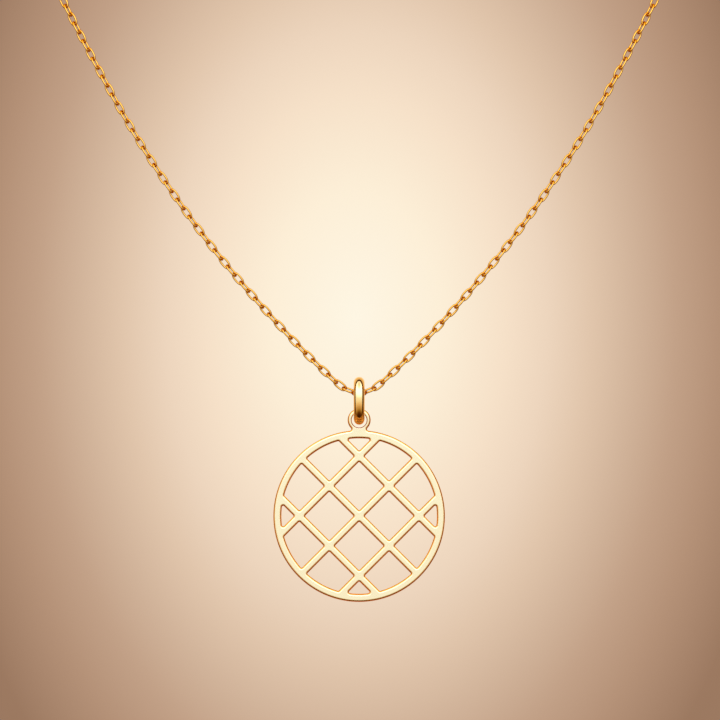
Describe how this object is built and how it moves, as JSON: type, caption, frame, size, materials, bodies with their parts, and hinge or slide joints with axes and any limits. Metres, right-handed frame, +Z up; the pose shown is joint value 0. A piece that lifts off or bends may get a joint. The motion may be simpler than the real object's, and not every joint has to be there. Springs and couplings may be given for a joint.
{
  "type": "circle pendant necklace",
  "caption": "Round openwork disc with an eyelet, hanging from a round-wire bail ring on a whole loop of fine cable chain, in the form it has when worn.",
  "frame": {"origin": "middle of the closed clasp, on its neck side, where the necklace rests on the nape", "axes": "+Z up as worn, +X to the right in the picture, -Y the way the pendant's face looks"},
  "size_m": [0.1062, 0.1068, 0.1563],
  "materials": {
    "satin_gold": "satin",
    "polished_gold": "polished",
    "chain_gold": "polished"
  },
  "bodies": {
    "chain": {"chain_front": "chain_gold", "chain_back": "chain_gold", "clasp": "polished_gold"},
    "bail": {"bail_ring": "polished_gold"},
    "pendant": {"pendant": "satin_gold"}
  },
  "joints": [
    {"name": "bail_swing", "type": "hinge", "parent": "chain", "child": "bail", "pos_m": [0, -0.103, -0.1288], "axis": [1, 0, 0], "range_deg": [-90, 90]},
    {"name": "pendant_swing", "type": "hinge", "parent": "bail", "child": "pendant", "pos_m": [0, -0.103, -0.13205], "axis": [0, 1, 0], "range_deg": [-70, 70]}
  ]
}
